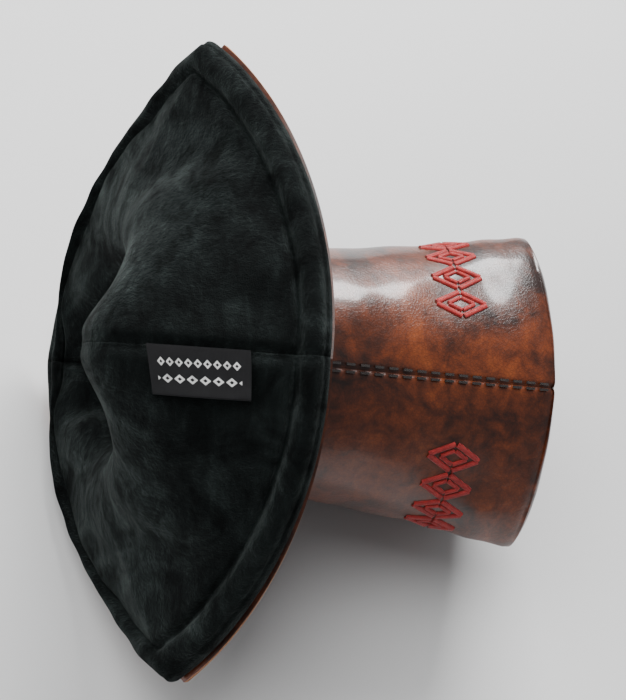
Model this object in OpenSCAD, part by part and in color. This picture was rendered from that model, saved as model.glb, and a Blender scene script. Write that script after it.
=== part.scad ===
// Putter head cover: a padded leather pouch with a flared, plush lined mouth.
// It lies on its sole, with both wings folded open.
// Shapes are worked out in the cover's own frame: x runs to the toe, y to the upper
// wing and z to the near ridge seam. The module laid() turns and shifts that frame,
// so that the object rests on the plane z = 0.

/* [Pouch] */
// Distance of the toe edge from the plane x = 0, which lies near the mouth
toe_x = 113; // [95:1:125]
// Half the pouch's width at the neck
neck_half_w = 27; // [25:0.5:30]
// Extra half width at the toe's ears
ear_flare = 13; // [8:0.5:16]
// Height of the near ridge over the plane z = 0, at the neck
near_h = 25; // [23:0.5:28]
// Depth of the sole under the plane z = 0, at the neck
far_h = 38; // [34:0.5:40]
// Bulge of the toe end
toe_bulge = 8; // [4:0.5:10]

/* [Layers] */
// Thickness of the leather
leather_t = 1.4; // [1:0.1:1.6]
// Thickness of the foam padding
padding_t = 2.8; // [2.4:0.1:3]
// Thickness of the plush lining
lining_t = 2.5; // [2:0.1:2.8]
// Gap that keeps two layers apart
layer_gap = 0.1; // [0.05:0.05:0.2]

/* [Wings] */
// Distance of each wing's fold from the middle plane
fold_y = 31; // [30:0.5:33]
// Gap between a wing and the collar at the fold
fold_gap = 0.8; // [0.6:0.1:1.5]
// Diameter of a closing magnet
magnet_d = 12; // [8:1:12]
// Thickness of a closing magnet
magnet_t = 1.5; // [1:0.1:1.5]
// Width of the rolled edge along the rim
roll_w = 8; // [6:0.5:9]
// Height of the rolled edge's rounded top
roll_h = 1.6; // [1:0.1:2]

/* [Trim] */
// Width of the thread
thread_w = 0.6; // [0.4:0.1:0.8]
// Width of the woven label, along its seam
label_w = 23; // [18:1:24]
// Length of the woven label, from its seam to its fold
label_l = 11; // [8:0.5:12]
// Thickness of the folded label
label_t = 0.9; // [0.6:0.1:1.2]

/* [Hidden] */

// Depths of the layers under the leather's outer face
padding_d = leather_t + layer_gap;
lining_d = padding_d + padding_t + layer_gap;
inner_d = lining_d + lining_t;
// Gap between a rolled edge and the lining's flat facets
roll_gap = 0.6;
// Gap between each half and the middle plane
half_gap = 0.2;
// Rim of the upper half: from the near seam to the wing's tip, and on to the sole seam
rim_near = [[42.4, 0, 40], [44.4, 25, 38], [39.3, 55, 26], [25, 73, 10]];
rim_far = [[25, 73, 10], [17, 57, -11.5], [4.5, 39, -38.5], [3, 0, -41]];
// Middle height of the toe end, and how far over and under it the bulge reaches
toe_mid_z = -12;
toe_span = 33;
// Height of the pouch's axis, and its end's distance from the toe edge
core_z = -9;
core_gap = 30;
// Turn and shift that lay the cover down
rest_roll = 24.73;
rest_pitch = 0.98;
rest_shift = [-57.567, 5.299, 42.535];

leather_colour = "saddlebrown";
foam_colour = "gainsboro";
plush_colour = "darkslategray";
thread_colour = "goldenrod";
red_thread_colour = "crimson";

function lerp(a, b, t) = a + (b - a) * t;
function clamp01(t) = min(max(t, 0), 1);
function unit(v) = v / max(norm(v), 1e-9);
function bezier(p, t) =
    pow(1 - t, 3) * p[0] + 3 * pow(1 - t, 2) * t * p[1]
    + 3 * (1 - t) * t * t * p[2] + t * t * t * p[3];

// The rim at angle f: 0 at the near seam, 90 at the wing's tip, 180 at the sole seam
function rim(f) =
    f <= 90 ? bezier(rim_near, f / 90) : bezier(rim_far, (f - 90) / 90);
// The mouth's distance along x at angle f
function mouth_x(f) =
    f <= 90 ? 2 + 12 * sin(f) : 9 + 5 * pow(sin(f), 1.5);
// The pouch's wall at angle f: u is 0 at the toe edge and 1 at the mouth
function pouch(f, u) =
    let (
        c = cos(f),
        power = 1 + 0.4 * (1 - u),
        half_w = neck_half_w + ear_flare * pow(1 - u, 1.7),
        half_h = c > 0 ? near_h - 5 * (1 - u) : far_h + 6 * (1 - u)
    )
    [
        lerp(toe_x, mouth_x(f), u),
        half_w * pow(sin(f), power),
        half_h * sign(c) * pow(abs(c), power)
    ];
// The toe end at angle f: r is 0 at its middle seam and 1 at the toe edge
function toe_end(f, r) =
    let (
        edge = pouch(f, 0),
        from_mid = edge.z - toe_mid_z,
        bulge = 0.5 + toe_bulge * (1 - pow(from_mid / toe_span, 2))
    )
    [
        toe_x + bulge * (1 - r * r),
        edge.y * r,
        toe_mid_z + from_mid * (0.9 + 0.1 * r)
    ];
// The flare from the mouth to the rim at angle f: v is 0 at the mouth and 1 at the rim
function flare(f, v) =
    let (
        from = pouch(f, 1),
        to = rim(f),
        pull = norm(to - from) * (0.55 + 1.05 * pow(max(cos(f), 0), 1.5))
    )
    (2 * v * v * v - 3 * v * v + 1) * from
    + (v * v * v - 2 * v * v + v) * [-pull, 0, 0]
    + (3 * v * v - 2 * v * v * v) * to
    + (v * v * v - v * v) * 0.9 * (to - from);
// The leather's outer face: w runs from -1 at the toe end's seam, over 0 at the toe
// edge and 1 at the mouth, to 2 at the rim
function face(f, w) =
    w < 0 ? toe_end(f, w + 1) : w <= 1 ? pouch(f, w) : flare(f, w - 1);
// The same face carried on over the middle plane, as its mirror image
function whole_face(f, w) =
    let (p = face(f < 0 ? -f : f > 180 ? 360 - f : f, w))
    f < 0 || f > 180 ? [p.x, -p.y, p.z] : p;
// Outward normal of that face, smoothed over its neighbours
function normal(f, w, spread = 5) =
    let (
        along_f = whole_face(f + spread, w) - whole_face(f - spread, w),
        along_w = face(f, min(w + 0.06, 2)) - face(f, max(w - 0.06, -1))
    )
    unit(cross(along_f, along_w));
// Where the layers go inwards: the pouch's towards its axis, the flare's along its normal
function inward(f, w) =
    let (
        p = face(f, w),
        to_axis = unit([min(p.x, toe_x - core_gap), 0, core_z] - p),
        share = clamp01((w - 1) / 0.2)
    )
    w <= 1 ? to_axis : unit(lerp(to_axis, -normal(f, w, 8), share));
// A point at depth d under the face, kept on its own side of the middle plane
function under(f, w, d) =
    let (p = face(f, w) + d * inward(f, w))
    [p.x, max(p.y, half_gap), p.z];
// Where the flare at angle f crosses the plane at y, as w, or 2 if it never does
function cross_w(f, y, low = 1, high = 2, steps = 12) =
    rim(f).y < y ? 2
    : steps == 0 ? (low + high) / 2
    : let (mid = (low + high) / 2)
        face(f, mid).y < y ? cross_w(f, y, mid, high, steps - 1)
        : cross_w(f, y, low, mid, steps - 1);
// The angle at which the rim has grown to y, on the near or on the far side
function rim_angle(y, inside, outside, steps = 14) =
    let (mid = (inside + outside) / 2)
    steps == 0 ? mid
    : rim(mid).y > y ? rim_angle(y, mid, outside, steps - 1)
    : rim_angle(y, inside, mid, steps - 1);
// How far a roll stands up at share t of its width
function roll_rise(t) = roll_h * sqrt(max(1 - pow(2 * t - 1, 2), 0));

wing_from = rim_angle(fold_y + 3, 90, 0);
wing_to = rim_angle(fold_y + 9, 90, 180);
collar_from = rim_angle(fold_y - fold_gap / 2, 90, 0);
collar_to = rim_angle(fold_y - fold_gap / 2, 90, 180);
wing_angles = concat(
    [for (i = [0 : 5]) lerp(wing_from, 90, i / 6)],
    [for (i = [0 : 6]) lerp(90, wing_to, i / 6)]
);
side_angles = concat(
    [for (i = [0 : 4]) lerp(0, collar_from, i / 5)],
    [for (i = [0 : 11]) lerp(collar_from, collar_to, i / 12)],
    [for (i = [0 : 4]) lerp(collar_to, 180, i / 4)]
);

// Lays an upper shape down, or its mirror image as the lower one
module laid(lower = false) {
    translate(rest_shift)
        rotate([0, rest_pitch, 0])
            rotate([rest_roll, 0, 0])
                mirror([0, lower ? 1 : 0, 0])
                    children();
}

// A closed block between two grids of points, rows by columns
module block(outer, inner) {
    rows = len(outer);
    cols = len(outer[0]);
    half = rows * cols;
    points = [for (grid = [inner, outer]) for (row = grid) each row];
    skins = [
        for (i = [0 : rows - 2])
            for (j = [0 : cols - 2])
                let (a = i * cols + j, b = a + cols)
                each [
                    [a, b, a + 1], [b, b + 1, a + 1],
                    [half + a, half + a + 1, half + b],
                    [half + b, half + a + 1, half + b + 1]
                ]
    ];
    row_sides = [
        for (i = [0 : rows - 2])
            let (a = i * cols, b = a + cols, c = a + cols - 1, d = b + cols - 1)
            each [
                [a, half + a, b], [b, half + a, half + b],
                [c, d, half + c], [d, half + d, half + c]
            ]
    ];
    col_sides = [
        for (j = [0 : cols - 2])
            let (a = j, c = (rows - 1) * cols + j)
            each [
                [a, a + 1, half + a], [a + 1, half + a + 1, half + a],
                [c, half + c, c + 1], [c + 1, half + c, half + c + 1]
            ]
    ];
    polyhedron(points, concat(skins, row_sides, col_sides));
}

// A layer over the given angles, between two depths. Each angle has its own stations.
module layer(angles, stations, top, bottom) {
    block(
        [for (i = [0 : len(angles) - 1]) [for (w = stations[i]) under(angles[i], w, top)]],
        [for (i = [0 : len(angles) - 1]) [for (w = stations[i]) under(angles[i], w, bottom)]]
    );
}

// Stations of one half of the pouch and collar at angle f
function side_stations(f) =
    let (last = cross_w(f, fold_y - fold_gap / 2))
    concat(
        [-1, -0.6, -0.25, 0],
        [for (i = [1 : 5]) i / 5],
        [for (share = [0.1, 0.25, 0.4, 0.6, 0.8, 1]) lerp(1, last, share)]
    );
module side_layer(top, bottom) {
    layer(side_angles, [for (f = side_angles) side_stations(f)], top, bottom);
}
module wing_layer(top, bottom) {
    layer(
        wing_angles,
        [for (f = wing_angles)
            [for (j = [0 : 5]) lerp(cross_w(f, fold_y + fold_gap / 2), 2, j / 5)]],
        top,
        bottom
    );
}
// The share of a flare that a rolled edge takes at angle f
function roll_share(f) = min(0.4, roll_w / norm(rim(f) - face(f, 1.6)) * 0.4);
// A padded roll along the rim, between two angles
module edge_roll(from, to, count) {
    angles = [for (i = [0 : count]) lerp(from, to, i / count)];
    block(
        [for (f = angles) [for (t = [1 : -0.2 : -0.01])
            under(f, 2 - roll_share(f) * t, inner_d + roll_gap)]],
        [for (f = angles) [for (t = [1 : -0.2 : -0.01])
            under(f, 2 - roll_share(f) * t, inner_d + roll_gap + 0.3 + roll_rise(t))]]
    );
}

// A bar of thread on the face between two places, each an angle and a station
module thread(a, b, lift = 0.05) {
    from = face(a[0], a[1]);
    to = face(b[0], b[1]);
    out = normal((a[0] + b[0]) / 2, (a[1] + b[1]) / 2);
    side = unit(cross(out, to - from)) * thread_w / 2;
    low = out * lift;
    high = out * (lift + 0.45);
    block(
        [[from - side + high, from + side + high], [to - side + high, to + side + high]],
        [[from - side + low, from + side + low], [to - side + low, to + side + low]]
    );
}
// A row of stitches along stations at one angle, from one station to another
module seam_stitches(f, from, to, count) {
    pitch = (to - from) / count;
    for (i = [0 : count - 1])
        thread([f, from + i * pitch], [f, from + (i + 0.6) * pitch]);
}
// A row of stitches beside the rim, between two angles
module rim_stitches(from, to, count) {
    pitch = (to - from) / count;
    for (i = [0 : count - 1])
        let (f = from + (i + 0.2) * pitch)
            thread([f, 1.93], [f + 0.6 * pitch, 1.93]);
}
// An outlined diamond on the face: centre and half sizes in angle and in station
module diamond(f, w, df, dw) {
    corners = [[f - df, w], [f, w + dw], [f + df, w], [f, w - dw]];
    for (i = [0 : 3])
        let (a = corners[i], b = corners[(i + 1) % 4])
            thread(lerp(a, b, 0.14), lerp(a, b, 0.86), 0.3);
}
module emblem() {
    for (i = [0 : 3]) {
        f = 38 + 14 * i;
        diamond(f, 0.24, 6.2, 0.07);
        diamond(f, 0.24, 3.2, 0.036);
    }
}
// A closing magnet inside the padding at a place on the wing
module magnet(f, w) {
    at = under(f, w, padding_d + padding_t / 2);
    out = normal(f, w);
    tilt = acos(out.z);
    turn = atan2(out.y, out.x);
    translate(at)
        rotate([0, tilt, turn])
            cylinder(h = magnet_t, d = magnet_d, center = true, $fn = 48);
}

module upper_side_panel() { color(leather_colour) laid() side_layer(0, leather_t); }
module lower_side_panel() { color(leather_colour) laid(true) side_layer(0, leather_t); }
module upper_side_padding() {
    color(foam_colour) laid() side_layer(padding_d, padding_d + padding_t);
}
module lower_side_padding() {
    color(foam_colour) laid(true) side_layer(padding_d, padding_d + padding_t);
}
module upper_side_lining() { color(plush_colour) laid() side_layer(lining_d, inner_d); }
module lower_side_lining() { color(plush_colour) laid(true) side_layer(lining_d, inner_d); }
module upper_collar_roll() {
    color(plush_colour) laid() edge_roll(1, wing_from - 6, 5);
}
module lower_collar_roll() {
    color(plush_colour) laid(true) edge_roll(1, wing_from - 6, 5);
}
module ridge_stitching() {
    color(thread_colour)
        for (lower = [false, true])
            laid(lower) seam_stitches(3, 0.02, 0.98, 28);
}
module sole_stitching() {
    color(thread_colour)
        for (lower = [false, true])
            laid(lower) seam_stitches(177, 0.02, 0.98, 28);
}
module collar_stitching() {
    color(thread_colour)
        for (lower = [false, true])
            laid(lower) rim_stitches(2, wing_from - 5, 8);
}
module upper_embroidery() { color(red_thread_colour) laid() emblem(); }
module lower_embroidery() { color(red_thread_colour) laid(true) emblem(); }
module upper_wing_panel() { color(leather_colour) laid() wing_layer(0, leather_t); }
module lower_wing_panel() { color(leather_colour) laid(true) wing_layer(0, leather_t); }
module upper_wing_padding() {
    color(foam_colour) laid() wing_layer(padding_d, padding_d + padding_t);
}
module lower_wing_padding() {
    color(foam_colour) laid(true) wing_layer(padding_d, padding_d + padding_t);
}
module upper_wing_lining() { color(plush_colour) laid() wing_layer(lining_d, inner_d); }
module lower_wing_lining() { color(plush_colour) laid(true) wing_layer(lining_d, inner_d); }
module upper_wing_roll() {
    color(plush_colour) laid() edge_roll(wing_from + 3, wing_to - 6, 16);
}
module lower_wing_roll() {
    color(plush_colour) laid(true) edge_roll(wing_from + 3, wing_to - 6, 16);
}
module wing_magnets() {
    magnet(76, 1.62);
    magnet(100, 1.62);
}
module upper_wing_magnets() { color("silver") laid() wing_magnets(); }
module lower_wing_magnets() { color("silver") laid(true) wing_magnets(); }
module upper_wing_stitching() {
    color(thread_colour) laid() rim_stitches(wing_from + 3, wing_to - 3, 34);
}
module lower_wing_stitching() {
    color(thread_colour) laid(true) rim_stitches(wing_from + 3, wing_to - 3, 34);
}
// The label hangs on the lower side of the near seam, on the collar's lining
module woven_label() {
    from = under(0, 1.42, inner_d);
    to = under(0, 1.8, inner_d);
    run = unit(to - from);
    out = unit(cross(run, [0, 1, 0]));
    lift = 0.5;
    base = from + out * lift;
    color("black")
        laid()
            block(
                [[for (s = [0, 1]) base + run * label_w * s + out * label_t],
                 [for (s = [0, 1]) base + run * label_w * s + out * label_t - [0, label_l, 0]]],
                [[for (s = [0, 1]) base + run * label_w * s],
                 [for (s = [0, 1]) base + run * label_w * s - [0, label_l, 0]]]
            );
}

upper_side_panel();
lower_side_panel();
upper_side_padding();
lower_side_padding();
upper_side_lining();
lower_side_lining();
upper_collar_roll();
lower_collar_roll();
ridge_stitching();
sole_stitching();
collar_stitching();
upper_embroidery();
lower_embroidery();
upper_wing_panel();
lower_wing_panel();
upper_wing_padding();
lower_wing_padding();
upper_wing_lining();
lower_wing_lining();
upper_wing_roll();
lower_wing_roll();
upper_wing_magnets();
lower_wing_magnets();
upper_wing_stitching();
lower_wing_stitching();
woven_label();
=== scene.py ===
import math

import bpy
import numpy as np
from mathutils import Matrix


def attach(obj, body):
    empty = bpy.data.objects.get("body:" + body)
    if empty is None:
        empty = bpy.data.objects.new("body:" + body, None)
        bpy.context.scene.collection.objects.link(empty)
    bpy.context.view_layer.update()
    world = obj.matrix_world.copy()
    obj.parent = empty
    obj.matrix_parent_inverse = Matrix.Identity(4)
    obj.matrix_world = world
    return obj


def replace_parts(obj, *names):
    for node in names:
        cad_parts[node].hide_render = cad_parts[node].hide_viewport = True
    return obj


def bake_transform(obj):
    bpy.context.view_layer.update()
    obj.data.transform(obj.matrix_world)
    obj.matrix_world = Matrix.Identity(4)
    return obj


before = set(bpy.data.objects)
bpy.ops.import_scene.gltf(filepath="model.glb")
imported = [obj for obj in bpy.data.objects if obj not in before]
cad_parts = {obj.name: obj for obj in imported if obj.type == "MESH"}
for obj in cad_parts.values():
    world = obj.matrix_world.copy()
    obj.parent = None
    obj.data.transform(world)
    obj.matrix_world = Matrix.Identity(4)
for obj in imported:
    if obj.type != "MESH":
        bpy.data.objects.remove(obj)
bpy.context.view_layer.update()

# The CAD's own numbers, in mm and in the cover's own frame: x to the toe, y to the
# upper wing, z to the near ridge seam. In that frame f is an angle round the pouch,
# 0 at the near seam and 180 at the sole seam, and w runs along it.
TOE_X = 113.0
NECK_HALF_W = 27.0
EAR_FLARE = 13.0
NEAR_H = 25.0
FAR_H = 38.0
TOE_BULGE = 8.0
TOE_MID_Z = -12.0
TOE_SPAN = 33.0
CORE_Z = -9.0
CORE_GAP = 30.0
RIM_NEAR = np.array([[42.4, 0, 40], [44.4, 25, 38], [39.3, 55, 26], [25, 73, 10]], float)
RIM_FAR = np.array([[25, 73, 10], [17, 57, -11.5], [4.5, 39, -38.5], [3, 0, -41]], float)
LEATHER_T = 1.4
INNER_D = 6.9
ROLL_W = 8.0
ROLL_H = 1.6
EMBLEM_W = 0.24
LABEL_FROM_W = 1.42
LABEL_TO_W = 1.8
LABEL_W = 23.0
LABEL_L = 11.0
LABEL_T = 0.9
ROLL = math.radians(24.73)
PITCH = math.radians(0.98)
SHIFT = np.array([-57.567, 5.299, 42.535])

# Numbers of the looks alone, in mm: how far the leather's raw edge stands out past the
# rim, and how far the label lies over the plush
RAW_EDGE_OUT = 2.1
LABEL_LIFT = 0.45
# Least height over the floor, in metres
FLOOR_GAP = 0.00005

TURN = (
    np.array([[math.cos(PITCH), 0, math.sin(PITCH)], [0, 1, 0],
              [-math.sin(PITCH), 0, math.cos(PITCH)]])
    @ np.array([[1, 0, 0], [0, math.cos(ROLL), -math.sin(ROLL)], [0, math.sin(ROLL), math.cos(ROLL)]])
)


def place(p):
    """Points of the cover's own frame, in mm, as points of the row frame, in metres."""
    return (np.asarray(p, float) @ TURN.T + SHIFT) / 1000.0


def unit(v):
    return v / np.maximum(np.linalg.norm(v, axis=-1, keepdims=True), 1e-9)


def pair(f, w):
    """Angles and stations as float arrays of one shape."""
    return np.broadcast_arrays(np.asarray(f, float), np.asarray(w, float))


def bezier(p, t):
    t = t[..., None]
    back = 1 - t
    return back**3 * p[0] + 3 * back**2 * t * p[1] + 3 * back * t * t * p[2] + t**3 * p[3]


def rim(f):
    """The flare's outer edge at angle f."""
    near = bezier(RIM_NEAR, np.clip(f, 0, 90) / 90)
    far = bezier(RIM_FAR, np.clip(f - 90, 0, 90) / 90)
    return np.where((f <= 90)[..., None], near, far)


def pouch(f, u):
    """The pouch's wall: u is 0 at the toe edge and 1 at the mouth."""
    c = np.cos(np.radians(f))
    s = np.clip(np.sin(np.radians(f)), 0, 1)
    power = 1 + 0.4 * (1 - u)
    mouth = np.where(f <= 90, 2 + 12 * s, 9 + 5 * s**1.5)
    half_w = NECK_HALF_W + EAR_FLARE * np.clip(1 - u, 0, 1) ** 1.7
    half_h = np.where(c > 0, NEAR_H - 5 * (1 - u), FAR_H + 6 * (1 - u))
    z = half_h * np.sign(c) * np.abs(c) ** power
    return np.stack([TOE_X + (mouth - TOE_X) * u, half_w * s**power, z], -1)


def toe_end(f, r):
    """The toe end: r is 0 at its middle seam and 1 at the toe edge."""
    edge = pouch(f, np.zeros_like(r))
    from_mid = edge[..., 2] - TOE_MID_Z
    bulge = 0.5 + TOE_BULGE * (1 - (from_mid / TOE_SPAN) ** 2)
    z = TOE_MID_Z + from_mid * (0.9 + 0.1 * r)
    return np.stack([TOE_X + bulge * (1 - r * r), edge[..., 1] * r, z], -1)


def flare(f, v):
    """The flare from the mouth, where v is 0, to the rim, where it is 1."""
    start = pouch(f, np.ones_like(v))
    to = rim(f)
    reach = to - start
    nearness = np.clip(np.cos(np.radians(f)), 0, 1)
    pull = np.linalg.norm(reach, axis=-1) * (0.55 + 1.05 * nearness**1.5)
    v = v[..., None]
    out = np.stack([-pull, 0 * pull, 0 * pull], -1)
    return (
        (2 * v**3 - 3 * v**2 + 1) * start + (v**3 - 2 * v**2 + v) * out
        + (3 * v**2 - 2 * v**3) * to + (v**3 - v**2) * 0.9 * reach
    )


def face(f, w):
    """The leather's outer face: w is -1 at the toe end's seam, 0 at the toe edge, 1 at the
    mouth and 2 at the rim."""
    f, w = pair(f, w)
    toe = toe_end(f, np.clip(w + 1, 0, 1))
    wall = pouch(f, np.clip(w, 0, 1))
    wide = flare(f, np.clip(w - 1, 0, 1))
    return np.where((w < 0)[..., None], toe, np.where((w <= 1)[..., None], wall, wide))


def whole_face(f, w):
    """The same face carried on over the middle plane, as its mirror image."""
    over = (f < 0) | (f > 180)
    p = face(np.where(f < 0, -f, np.where(f > 180, 360 - f, f)), w).copy()
    p[..., 1] = np.where(over, -p[..., 1], p[..., 1])
    return p


def normal(f, w, spread=5.0):
    """Outward normal of the face, smoothed over its neighbours."""
    f, w = pair(f, w)
    along_f = whole_face(f + spread, w) - whole_face(f - spread, w)
    along_w = face(f, np.minimum(w + 0.06, 2)) - face(f, np.maximum(w - 0.06, -1))
    return unit(np.cross(along_f, along_w))


def inward(f, w):
    """Where the layers go inwards: the pouch's towards its axis, the flare's along its normal."""
    f, w = pair(f, w)
    p = face(f, w)
    axis = np.stack([np.minimum(p[..., 0], TOE_X - CORE_GAP), 0 * f, 0 * f + CORE_Z], -1)
    to_axis = unit(axis - p)
    share = np.clip((w - 1) / 0.2, 0, 1)[..., None]
    turned = unit(to_axis * (1 - share) - share * normal(f, w, 8.0))
    return np.where((w <= 1)[..., None], to_axis, turned)


def waves(p, size, seed, count=9):
    """Smooth bumps from -1 to 1, about size mm across, the same on every run."""
    rng = np.random.default_rng(seed)
    total = np.zeros(p.shape[:-1])
    for _ in range(count):
        k = rng.normal(size=3)
        k *= 2 * math.pi / (size * rng.uniform(0.7, 1.6)) / np.linalg.norm(k)
        total += np.sin(p @ k + rng.uniform(0, 2 * math.pi))
    return total / (0.75 * count**0.5) / 1.6


def hump(x, width):
    """A bell: 1 at 0, and next to nothing past twice the width."""
    return np.exp(-((x / width) ** 2))


def smooth(x):
    """0 below 0, 1 over 1, and a soft step between."""
    x = np.clip(x, 0, 1)
    return x * x * (3 - 2 * x)


def keep_half(p):
    """Keeps a half's points on its own side of the middle plane."""
    p = p.copy()
    p[..., 1] = np.maximum(p[..., 1], 0.03)
    return p


# ---------------------------------------------------------------- meshes


def shell_quads(rows, cols):
    """Faces of a closed shell between two grids of points: first both grids, then the edges."""
    half = rows * cols
    last = (rows - 1) * cols
    i, j = np.meshgrid(np.arange(rows - 1), np.arange(cols - 1), indexing="ij")
    a = (i * cols + j).ravel()
    b = a + cols
    r = np.arange(rows - 1) * cols
    e = r + cols - 1
    c = np.arange(cols - 1)
    grids = np.concatenate([
        np.stack([a, a + 1, b + 1, b], 1),
        np.stack([half + a, half + b, half + b + 1, half + a + 1], 1),
    ])
    edges = np.concatenate([
        np.stack([r, r + cols, half + r + cols, half + r], 1),
        np.stack([e, half + e, half + e + cols, e + cols], 1),
        np.stack([c, half + c, half + c + 1, c + 1], 1),
        np.stack([last + c, last + c + 1, half + last + c + 1, half + last + c], 1),
    ])
    return grids, edges


def new_piece(name, pts, quads, mats, smooth_deg=50):
    """A mesh object from points of the cover's own frame, in mm. Its textures follow them."""
    spots = place(pts)
    # The leather lies flat where it rests on the floor
    spots[:, 2] = np.maximum(spots[:, 2], FLOOR_GAP)
    mesh = bpy.data.meshes.new(name)
    mesh.from_pydata(spots.tolist(), [], quads.tolist())
    mesh.validate()
    obj = bpy.data.objects.new(name, mesh)
    bpy.context.scene.collection.objects.link(obj)
    for mat in mats:
        mesh.materials.append(mat)
    mesh.polygons.foreach_set("use_smooth", np.ones(len(mesh.polygons), bool))
    mesh.set_sharp_from_angle(angle=math.radians(smooth_deg))
    attr = mesh.attributes.new("rest", "FLOAT_VECTOR", "POINT")
    attr.data.foreach_set("vector", np.asarray(pts, np.float32).ravel())
    mesh.update()
    return obj


def shell_piece(name, top, bottom, lower, mats, smooth_deg=50):
    """A closed shell between two grids of points in the upper half, or its mirror image.
    A second material goes on its edges."""
    pts = np.concatenate([top.reshape(-1, 3), bottom.reshape(-1, 3)])
    grids, edges = shell_quads(*top.shape[:2])
    quads = np.concatenate([grids, edges])
    if lower:
        pts = pts * [1, -1, 1]
        quads = quads[:, ::-1]
    obj = new_piece(name, pts, quads, mats, smooth_deg)
    if len(mats) > 1:
        kinds = np.repeat([0, 1], [len(grids), len(edges)])
        obj.data.polygons.foreach_set("material_index", kinds.astype(np.int32))
    return obj


# ---------------------------------------------------------------- materials


class Nodes:
    """A material's node tree, built by short calls."""

    def __init__(self, name):
        self.mat = bpy.data.materials.new(name)
        self.mat.use_nodes = True
        self.tree = self.mat.node_tree
        self.bsdf = self.tree.nodes["Principled BSDF"]

    def add(self, kind, inputs=None, **props):
        n = self.tree.nodes.new(kind)
        for k, v in props.items():
            setattr(n, k, v)
        for k, v in (inputs or {}).items():
            self.put(n, k, v)
        return n

    def put(self, n, k, v):
        if isinstance(v, bpy.types.NodeSocket):
            self.tree.links.new(v, n.inputs[k])
        else:
            n.inputs[k].default_value = v

    def coords(self, scale=(1, 1, 1), own=True):
        """Places in the cover's own frame in mm, or else in the object's own metres."""
        if own:
            src = self.add("ShaderNodeAttribute", attribute_name="rest").outputs["Vector"]
        else:
            src = self.add("ShaderNodeTexCoord").outputs["Object"]
        return self.add("ShaderNodeMapping", {"Vector": src, "Scale": scale}).outputs["Vector"]

    def noise(self, vec, scale, detail=4.0, rough=0.55, distort=0.0):
        n = self.add("ShaderNodeTexNoise", {"Vector": vec, "Scale": scale, "Detail": detail,
                                            "Roughness": rough, "Distortion": distort})
        return n.outputs["Fac"]

    def ramp(self, fac, stops):
        n = self.add("ShaderNodeValToRGB", {"Fac": fac})
        e = n.color_ramp.elements
        while len(e) < len(stops):
            e.new(0.5)
        for el, (pos, col) in zip(e, stops):
            el.position = pos
            el.color = (*col, 1)
        return n.outputs["Color"]

    def math(self, op, a, b=0.0):
        return self.add("ShaderNodeMath", {0: a, 1: b}, operation=op).outputs[0]

    def span(self, fac, low, high):
        """0 to 1 as low to high."""
        ends = {"Value": fac, "To Min": low, "To Max": high}
        return self.add("ShaderNodeMapRange", ends).outputs["Result"]

    def mix(self, fac, a, b):
        """Colour a where fac is 0, and b where it is 1."""
        return self.add("ShaderNodeMix", {0: fac, 6: a, 7: b}, data_type="RGBA").outputs[2]

    def bump(self, height, strength, distance, onto=None):
        n = self.add("ShaderNodeBump", {"Height": height, "Strength": strength, "Distance": distance})
        if onto is not None:
            self.put(n, "Normal", onto)
        return n.outputs["Normal"]

    def shader(self, **values):
        for k, v in values.items():
            self.put(self.bsdf, k.replace("_", " "), v)
        return self.mat


def leather_material():
    n = Nodes("glazed_leather")
    v = n.coords()
    cloud = n.noise(v, 0.045, 5, 0.6, 0.8)
    mottle = n.noise(v, 0.22, 8, 0.68, 0.4)
    both = n.math("ADD", n.math("MULTIPLY", cloud, 0.55), n.math("MULTIPLY", mottle, 0.45))
    colour = n.ramp(both, [(0.38, (0.014, 0.0036, 0.0018)), (0.47, (0.060, 0.0125, 0.0034)),
                           (0.55, (0.122, 0.0245, 0.0055)), (0.68, (0.235, 0.054, 0.0115))])
    cells = n.add("ShaderNodeTexVoronoi", {"Vector": v, "Scale": 1.15, "Randomness": 1.0},
                  feature="DISTANCE_TO_EDGE").outputs["Distance"]
    crease = n.ramp(cells, [(0.0, (0, 0, 0)), (0.16, (1, 1, 1))])
    fine = n.noise(v, 2.6, 3, 0.6)
    dark = n.mix(n.span(crease, 0.28, 0.0), colour, (0.012, 0.004, 0.002, 1))
    pores = n.bump(crease, 0.20, 0.0001)
    wrinkle = n.bump(n.noise(v, 0.28, 5, 0.55, 1.0), 0.22, 0.0005, pores)
    return n.shader(Base_Color=dark, Roughness=n.span(fine, 0.26, 0.46), Specular_IOR_Level=0.4,
                    Coat_Weight=0.45, Coat_Roughness=0.12, Normal=wrinkle)


def raw_edge_material():
    n = Nodes("raw_leather_edge")
    v = n.coords()
    fleck = n.noise(v, 1.6, 5, 0.7)
    colour = n.ramp(fleck, [(0.3, (0.16, 0.045, 0.012)), (0.55, (0.42, 0.15, 0.035)),
                            (0.72, (0.70, 0.42, 0.16))])
    return n.shader(Base_Color=colour, Roughness=n.span(fleck, 0.55, 0.85),
                    Normal=n.bump(n.noise(v, 3.0, 4), 0.5, 0.0003))


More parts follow.
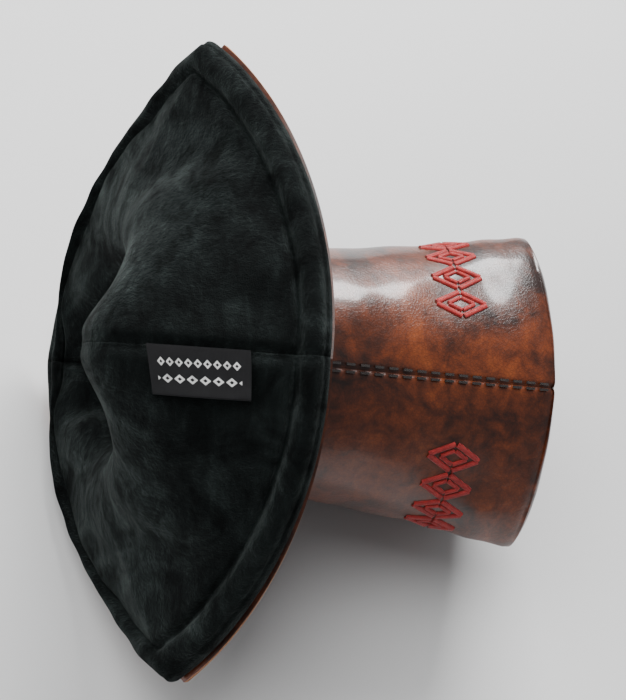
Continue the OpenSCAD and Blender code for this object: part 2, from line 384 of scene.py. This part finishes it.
def plush_material():
    n = Nodes("short_pile_plush")
    v = n.coords()
    brushed = n.noise(v, 0.055, 6, 0.62, 1.6)
    strokes = n.noise(n.coords((0.30, 0.09, 0.30)), 1.0, 5, 0.6, 0.8)
    both = n.math("ADD", n.math("MULTIPLY", brushed, 0.6), n.math("MULTIPLY", strokes, 0.4))
    colour = n.ramp(both, [(0.38, (0.0010, 0.0015, 0.0015)), (0.53, (0.0028, 0.0043, 0.0042)),
                           (0.70, (0.0095, 0.0135, 0.0130))])
    pile = n.noise(v, 3.2, 4, 0.7)
    tufts = n.noise(v, 0.9, 4, 0.6)
    nap = n.bump(pile, 0.75, 0.0007)
    soft = n.bump(tufts, 0.4, 0.0012, nap)
    lit = n.ramp(both, [(0.40, (0, 0, 0)), (0.66, (1, 1, 1))])
    return n.shader(Base_Color=colour, Roughness=n.span(pile, 0.8, 1.0), Specular_IOR_Level=0.08,
                    Sheen_Weight=n.span(lit, 0.02, 0.20), Sheen_Roughness=0.38,
                    Sheen_Tint=(0.72, 0.86, 0.82, 1), Normal=soft)


def thread_material(name, low, mid, high, scale, gloss=(0.28, 0.5), own=True):
    """Twisted thread: fine slanted ridges, and a little variation from strand to strand."""
    n = Nodes(name)
    v = n.coords((1, 1, 1) if own else (1000, 1000, 1000), own)
    ridges = n.add("ShaderNodeTexWave", {"Vector": v, "Scale": scale, "Distortion": 1.5,
                                         "Detail": 2.0, "Detail Scale": 1.5},
                   bands_direction="DIAGONAL").outputs["Fac"]
    lot = n.noise(v, 0.9, 4, 0.6)
    both = n.math("ADD", n.math("MULTIPLY", ridges, 0.45), n.math("MULTIPLY", lot, 0.55))
    colour = n.ramp(both, [(0.25, low), (0.5, mid), (0.78, high)])
    return n.shader(Base_Color=colour, Roughness=n.span(ridges, *gloss), Sheen_Weight=0.08,
                    Specular_IOR_Level=0.45, Normal=n.bump(ridges, 0.6, 0.00025))


def diamond_row(n, uv, low, high, count):
    """1 on the outlines of a row of diamonds between two heights of the label, else 0."""
    middle, half = (low + high) / 2, (high - low) / 2
    across = n.math("DIVIDE", n.math("ABSOLUTE", n.math("SUBTRACT", uv["Y"], middle)), half)
    repeat = n.math("FRACT", n.math("MULTIPLY", uv["X"], count))
    along = n.math("ABSOLUTE", n.math("SUBTRACT", repeat, 0.5))
    out = n.math("ADD", across, n.math("MULTIPLY", along, 2.3))
    row = n.math("MULTIPLY", n.math("LESS_THAN", out, 1.0), n.math("GREATER_THAN", out, 0.42))
    margin = n.math("LESS_THAN", n.math("ABSOLUTE", n.math("SUBTRACT", uv["X"], 0.5)), 0.41)
    return n.math("MULTIPLY", row, margin)


def label_material():
    """Black woven tape with two rows of small white diamonds on its front."""
    n = Nodes("woven_satin_tape")
    v = n.add("ShaderNodeUVMap").outputs["UV"]
    warp = n.add("ShaderNodeTexWave", {"Vector": v, "Scale": 26.0, "Distortion": 0.3, "Detail": 1.0},
                 bands_direction="X").outputs["Fac"]
    weft = n.add("ShaderNodeTexWave", {"Vector": v, "Scale": 40.0, "Distortion": 0.3, "Detail": 1.0},
                 bands_direction="Y").outputs["Fac"]
    weave = n.math("MULTIPLY", warp, weft)
    lot = n.noise(v, 6.0, 5, 0.6)
    tone = n.math("ADD", n.math("MULTIPLY", weave, 0.5), n.math("MULTIPLY", lot, 0.5))
    cloth = n.ramp(tone, [(0.2, (0.002, 0.002, 0.0025)), (0.5, (0.005, 0.005, 0.006)),
                          (0.8, (0.016, 0.016, 0.018))])
    uv = n.add("ShaderNodeSeparateXYZ", {"Vector": v}).outputs
    rows = [diamond_row(n, uv, 0.115, 0.20, 11.0), diamond_row(n, uv, 0.27, 0.355, 8.0)]
    mark = n.math("MAXIMUM", *rows)
    white = n.ramp(lot, [(0.3, (0.42, 0.42, 0.41)), (0.7, (0.80, 0.80, 0.78))])
    return n.shader(Base_Color=n.mix(mark, cloth, white), Roughness=n.span(weave, 0.45, 0.7),
                    Specular_IOR_Level=0.25, Normal=n.bump(weave, 0.4, 0.00008))


def metal_material():
    n = Nodes("nickel_plate")
    v = n.coords((1000, 1000, 1000), own=False)
    lot = n.noise(v, 0.8, 4, 0.6)
    colour = n.ramp(lot, [(0.3, (0.55, 0.55, 0.56)), (0.7, (0.75, 0.75, 0.77))])
    return n.shader(Base_Color=colour, Metallic=1.0, Roughness=n.span(lot, 0.15, 0.3))


LEATHER = leather_material()
RAW_EDGE = raw_edge_material()
PLUSH = plush_material()
RED = thread_material("red_satin_stitch", (0.11, 0.003, 0.004), (0.34, 0.009, 0.011),
                      (0.66, 0.055, 0.045), 1.6)
GOLD = thread_material("gold_thread", (0.20, 0.075, 0.02), (0.55, 0.27, 0.08),
                       (0.90, 0.62, 0.28), 1.3, own=False)
DARK = thread_material("dark_thread", (0.002, 0.001, 0.001), (0.007, 0.003, 0.002),
                       (0.022, 0.010, 0.006), 1.3, (0.6, 0.8), own=False)
LABEL = label_material()
METAL = metal_material()

# ---------------------------------------------------------------- leather and plush


def roll_share(f):
    """The share of the flare that the rolled edge takes at angle f, 0.4 at most."""
    last_part = np.linalg.norm(rim(f) - face(f, 1.6 + 0 * f), axis=-1)
    return np.minimum(0.4, ROLL_W / last_part * 0.4)


def rim_out(f):
    """Direction in which the wall ends at the rim."""
    return unit(face(f, 2 + 0 * f) - face(f, 1.96 + 0 * f))


def leather_swell(w, p):
    """How far the stuffed leather stands out of its CAD face, in mm: dents, folds at the neck
    and at the ears, and seams pulled in."""
    from_seam = p[..., 1]
    free = 1 - np.exp(-((from_seam / 5.0) ** 2))
    free = free * (1 - hump(w - 2, 0.12)) * (1 - hump(w, 0.07))
    soft = 0.45 * waves(p, 34, 11) + 0.20 * waves(p, 13, 12)
    neck = hump(w - 1.03, 0.16) * (0.55 * waves(p * [0.35, 1, 1], 9, 13) - 0.1)
    ear = smooth((0.25 - np.abs(w - 0.12)) / 0.25) * 0.5 * waves(p * [1, 0.5, 0.5], 11, 14)
    seam = 0.55 * hump(from_seam, 0.8) + 0.5 * hump(w, 0.012)
    return free * (soft + neck + 0.5 * ear + 0.45) - seam


def spaced(*parts):
    """Stations: (start, end, steps) runs, joined without repeats."""
    runs = [np.linspace(a, b, n, endpoint=False) for a, b, n in parts]
    return np.concatenate([*runs, [parts[-1][1]]])


def leather_grid(angles, stations, edge_out=0.0):
    """Outer and inner face of the leather. Its raw edge stands edge_out mm past the rim."""
    f, w = np.meshgrid(angles, stations, indexing="ij")
    p, n = face(f, w), normal(f, w, 3.0)
    top = p + n * leather_swell(w, p)[..., None]
    bottom = p + LEATHER_T * inward(f, w)
    if edge_out:
        push = (edge_out * smooth((w - 1.9) / 0.1))[..., None] * rim_out(f)
        top, bottom = top + push, bottom + push
    return keep_half(top), keep_half(bottom)


def lining_swell(w, p):
    """Soft hollows and diagonal folds in the plush, in mm, towards the inside."""
    from_seam = p[..., 1]
    free = 1 - np.exp(-((from_seam / 7.0) ** 2))
    throat = hump(w - 1.12, 0.2)
    soft = 0.8 * waves(p, 26, 21) + 0.35 * waves(p, 11, 22)
    skew = p[..., 1] * 0.75 + p[..., 2] * 0.35 - p[..., 0] * 0.5
    folds = throat * 1.3 * np.sin(skew / 3.1 + 1.2 * waves(p, 30, 23))
    seam = 1.3 * hump(from_seam, 1.3)
    return free * (soft + folds + 0.4) - seam


def flare_lining(angles, lower, name):
    """The plush of the collar and the wing, with the rolled edge along the rim."""
    stations = spaced((0.95, 1.3, 14), (1.3, 1.75, 16), (1.75, 2.0, 22))
    f, w = np.meshgrid(angles, stations, indexing="ij")
    p, n_in = face(f, w), inward(f, w)
    share = roll_share(angles)[:, None]
    t = np.clip((2 - w) / share, 0, 1.6)
    on_roll = t < 1
    arch = np.sqrt(np.clip(1 - (2 * np.clip(t, 0, 1) - 1) ** 2, 0, 1))
    rise = np.where(on_roll, 0.3 + ROLL_H * arch, 0)
    rise = rise * 1.15 - 1.1 * hump(t - 1.06, 0.10)
    calm = smooth((t - 0.9) / 0.5)
    depth = INNER_D + rise + calm * lining_swell(w, p) + (1 - calm) * 0.25 * waves(p, 8, 24)
    depth -= (1 - calm) * 1.0 * hump(p[..., 1], 1.0)
    top = p + depth[..., None] * n_in
    # The roll goes round the rim, from the lining down to the leather
    out = rim_out(angles)
    arc = np.linspace(0, math.pi, 12)[1:]
    deep = depth[:, -1:]
    low = LEATHER_T + 0.1
    round_d = (deep + low) / 2 + (deep - low) / 2 * np.cos(arc)[None, :]
    round_o = 1.4 * np.sin(arc)[None, :] ** 0.8
    edge = (p[:, -1:, :] + round_d[..., None] * n_in[:, -1:, :]
            + round_o[..., None] * out[:, None, :])
    back = p + low * n_in
    back_edge = np.repeat(back[:, -1:, :], len(arc), axis=1)
    pull = 0.02 * (np.arange(len(arc)) + 1)[None, :, None]
    back_edge = back_edge - out[:, None, :] * 0.2 + n_in[:, -1:, :] * (0.5 - pull)
    top = np.concatenate([top, edge], axis=1)
    back = np.concatenate([back, back_edge], axis=1)
    return shell_piece(name, keep_half(back), keep_half(top), lower, [PLUSH], 180)


def pouch_lining(angles, lower, name):
    """The plush inside the pouch, from the toe end's seam to the mouth."""
    stations = spaced((-1.0, 0.0, 8), (0.0, 1.0, 30))
    f, w = np.meshgrid(angles, stations, indexing="ij")
    p, n_in = face(f, w), inward(f, w)
    depth = INNER_D - 0.4 + 0.5 * lining_swell(w, p)
    back = p + (LEATHER_T + 0.2) * n_in
    top = p + depth[..., None] * n_in
    return shell_piece(name, keep_half(back), keep_half(top), lower, [PLUSH], 180)


ANGLES = spaced((0, 6, 8), (6, 84, 52), (84, 96, 12), (96, 174, 52), (174, 180, 8))
POUCH_W = spaced((-1, -0.08, 14), (-0.08, 0.08, 16), (0.08, 0.8, 34), (0.8, 1.0, 12))
FLARE_W = spaced((1.0, 1.3, 18), (1.3, 1.9, 24), (1.9, 2.0, 6))
for side, lower in (("upper", False), ("lower", True)):
    shell = shell_piece(f"{side}_pouch_leather", *leather_grid(ANGLES, POUCH_W), lower, [LEATHER])
    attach(shell, "cover")
    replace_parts(shell, f"{side}_side_panel")
    wing = shell_piece(f"{side}_flare_leather", *leather_grid(ANGLES, FLARE_W, RAW_EDGE_OUT), lower,
                       [LEATHER, RAW_EDGE])
    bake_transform(wing)
    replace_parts(wing, f"{side}_wing_panel")
    plush = flare_lining(ANGLES, lower, f"{side}_flare_lining")
    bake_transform(plush)
    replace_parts(plush, f"{side}_wing_lining", f"{side}_wing_padding", f"{side}_wing_roll",
                f"{side}_collar_roll")
    inside = pouch_lining(ANGLES[::2], lower, f"{side}_pouch_lining")
    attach(inside, "cover")
    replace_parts(inside, f"{side}_side_lining", f"{side}_side_padding")

# ---------------------------------------------------------------- embroidery


def on_leather(f, w):
    """Points on the stuffed leather's outer face."""
    p = face(f, w)
    return p + normal(f, w, 3.0) * leather_swell(w, p)[..., None]


def satin_bar(a, b, width, lift):
    """One bar of satin stitch: rows of threads across it, on a rounded section."""
    steps, across = 22, 7
    t = np.linspace(0, 1, steps)
    f = a[0] + (b[0] - a[0]) * t
    w = a[1] + (b[1] - a[1]) * t
    mid = on_leather(f, w)
    out = normal(f, w, 3.0)
    run = unit(np.gradient(mid, axis=0))
    side = unit(np.cross(out, run))
    s = np.linspace(-1, 1, across)
    ridge = 1 + 0.10 * np.cos(math.pi * np.arange(steps))
    high = lift * np.sqrt(np.clip(1 - s**2, 0, 1)) ** 0.7
    flat = mid[:, None] + side[:, None] * (s * width / 2)[None, :, None]
    top = flat + out[:, None] * (high[None, :, None] * ridge[:, None, None] + 0.02)
    base = flat - out[:, None] * 0.35
    quads = np.concatenate(shell_quads(steps, across))[:, ::-1]
    return np.concatenate([top.reshape(-1, 3), base.reshape(-1, 3)]), quads


def emblem(name, lower):
    """Four diamonds round the pouch, each with a smaller one inside it."""
    pts, quads, count = [], [], 0
    for i in range(4):
        f = 38.0 + 14 * i
        for df, dw, width in ((6.2, 0.07, 1.5), (3.2, 0.036, 1.2)):
            corners = np.array([(f - df, EMBLEM_W), (f, EMBLEM_W + dw), (f + df, EMBLEM_W),
                                (f, EMBLEM_W - dw)])
            for a, b in zip(corners, np.roll(corners, -1, axis=0)):
                p, q = satin_bar(a + (b - a) * 0.05, a + (b - a) * 0.95, width, 0.5)
                pts.append(p)
                quads.append(q + count)
                count += len(p)
    pts = np.concatenate(pts)
    quads = np.concatenate(quads)
    if lower:
        pts = pts * [1, -1, 1]
        quads = quads[:, ::-1]
    obj = new_piece(name, pts, quads, [RED], 60)
    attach(obj, "cover")
    return obj


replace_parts(emblem("upper_satin_stitch", False), "upper_embroidery")
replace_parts(emblem("lower_satin_stitch", True), "lower_embroidery")

# ---------------------------------------------------------------- label


def lining_depth(f, w):
    """Depth of the plush's face under the leather's, away from the rolled edge, in mm."""
    return INNER_D + lining_swell(w, face(f, w))


def label_section():
    """The folded tape's section, from the seam over the fold and back: its distance from the
    seam, its height, and the length of tape up to each point, with the flat part's stations."""
    r = LABEL_T / 2
    flat = np.linspace(0, LABEL_L - r, 16)
    bend = np.linspace(0, math.pi, 9)[1:-1]
    y = np.concatenate([flat, LABEL_L - r + r * np.sin(bend), flat[::-1]])
    z = np.concatenate([LABEL_T + 0 * flat, r + r * np.cos(bend), 0 * flat])
    v = np.concatenate([[0], np.cumsum(np.hypot(np.diff(y), np.diff(z)))])
    return y, z, v, flat


def label_cloth():
    """The folded tape: it hangs from the near seam and lies on the plush of the lower half."""
    y, z, v, flat = label_section()
    u = np.linspace(0, LABEL_W, 36)
    ends = np.array([LABEL_FROM_W, LABEL_TO_W])
    on_seam = face(0.0, ends) + INNER_D * inward(0.0, ends)
    reach = np.linalg.norm(on_seam[1] - on_seam[0])
    turns = np.linspace(0, 60, 121)
    pts = np.zeros((len(u), len(y), 3))
    for k, along in enumerate(u):
        w = LABEL_FROM_W + (LABEL_TO_W - LABEL_FROM_W) * along / reach + 0 * turns
        lie = face(turns, w) + (INNER_D + 0.2) * inward(turns, w)
        ahead = np.concatenate([[0], np.cumsum(np.linalg.norm(np.diff(lie, axis=0), axis=1))])
        f = np.interp(y, ahead, turns)
        ww = w[0] + 0 * f
        plush = lining_depth(np.interp(flat, ahead, turns), w[: len(flat)])
        evened = np.convolve(np.pad(plush, 2, "edge"), np.ones(5) / 5, "valid")
        level = np.maximum(np.interp(y, flat, evened), INNER_D + 0.1) + LABEL_LIFT
        curl = 0.9 * (y / LABEL_L) ** 3 * (0.3 + 0.7 * np.sin(along / LABEL_W * 2.4 + 0.2))
        pts[k] = face(f, ww) + (level + z + curl)[:, None] * inward(f, ww)
    pts = pts * [1, -1, 1]
    rows, cols = pts.shape[:2]
    i, j = np.meshgrid(np.arange(rows - 1), np.arange(cols - 1), indexing="ij")
    a = (i * cols + j).ravel()
    quads = np.stack([a, a + 1, a + cols + 1, a + cols], 1)
    obj = new_piece("label_cloth", pts.reshape(-1, 3), quads, [LABEL], 180)
    mesh = obj.data
    uv = mesh.uv_layers.new(name="UVMap")
    uvs = np.stack(np.broadcast_arrays(u[:, None], v[None, :]), -1).reshape(-1, 2) / LABEL_W
    loops = np.zeros(len(mesh.loops), np.int32)
    mesh.loops.foreach_get("vertex_index", loops)
    uv.data.foreach_set("uv", uvs[loops].astype(np.float32).ravel())
    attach(obj, "label")
    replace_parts(obj, "woven_label")


label_cloth()

# ---------------------------------------------------------------- CAD nodes that show

for node, mat in (("ridge_stitching", DARK), ("sole_stitching", DARK), ("collar_stitching", GOLD),
                  ("upper_wing_stitching", GOLD), ("lower_wing_stitching", GOLD),
                  ("upper_wing_magnets", METAL), ("lower_wing_magnets", METAL)):
    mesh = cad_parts[node].data
    mesh.materials.clear()
    mesh.materials.append(mat)

# ---------------------------------------------------------------- stage, light, camera

scene = bpy.context.scene


def floor():
    mesh = bpy.data.meshes.new("floor")
    mesh.from_pydata([(-3, -3, 0), (3, -3, 0), (3, 3, 0), (-3, 3, 0)], [], [(0, 1, 2, 3)])
    obj = bpy.data.objects.new("floor", mesh)
    scene.collection.objects.link(obj)
    n = Nodes("pale_floor")
    v = n.add("ShaderNodeTexCoord").outputs["Object"]
    tone = n.noise(v, 3.0, 3, 0.5)
    colour = n.ramp(tone, [(0.3, (0.60, 0.60, 0.60)), (0.7, (0.66, 0.66, 0.66))])
    mesh.materials.append(n.shader(Base_Color=colour, Roughness=n.span(tone, 0.5, 0.65)))


def softbox(name, direction, distance, size, watts, own=True):
    """An area light that looks at the cover from a direction, in the cover's own frame or,
    where own is False, in the frame of the floor."""
    d = np.array(direction, float)
    d = TURN @ d if own else d
    d /= np.linalg.norm(d)
    light = bpy.data.lights.new(name, "AREA")
    light.shape = "RECTANGLE"
    light.size, light.size_y = size
    light.energy = watts
    obj = bpy.data.objects.new(name, light)
    scene.collection.objects.link(obj)
    at = np.array([0, 0, 0.04]) + d * distance
    x = np.cross([0, 0, 1], d)
    x /= np.linalg.norm(x)
    y = np.cross(d, x)
    obj.matrix_world = Matrix([[x[0], y[0], d[0], at[0]], [x[1], y[1], d[1], at[1]],
                               [x[2], y[2], d[2], at[2]], [0, 0, 0, 1]])


floor()
softbox("window", (0.16, 0.85, 0.20), 1.0, (0.60, 0.30), 21)
softbox("overhead", (-0.5, 0.25, 1.0), 1.3, (1.0, 1.0), 16, own=False)
softbox("left_fill", (-1.0, -0.25, 0.45), 1.2, (0.8, 0.8), 7, own=False)

world = bpy.data.worlds.new("studio")
world.use_nodes = True
background = world.node_tree.nodes["Background"].inputs
background["Color"].default_value = (0.95, 0.97, 1.0, 1)
background["Strength"].default_value = 0.28
scene.world = world

# The camera's axes and place in the cover's own frame, in mm
right = TURN @ np.array([0.923, 0.058, 0.382])
up = TURN @ np.array([-0.088, 0.994, 0.062])
back = TURN @ np.array([-0.376, -0.091, 0.922])
at = place([-133.737, -40.254, 465.763])
camera = bpy.data.objects.new("camera", bpy.data.cameras.new("camera"))
scene.collection.objects.link(camera)
camera.matrix_world = Matrix([[right[k], up[k], back[k], at[k]] for k in range(3)] + [[0, 0, 0, 1]])
camera.data.sensor_fit = "VERTICAL"
camera.data.angle = math.radians(19.3)
camera.data.clip_start = 0.01
camera.data.clip_end = 20
scene.camera = camera
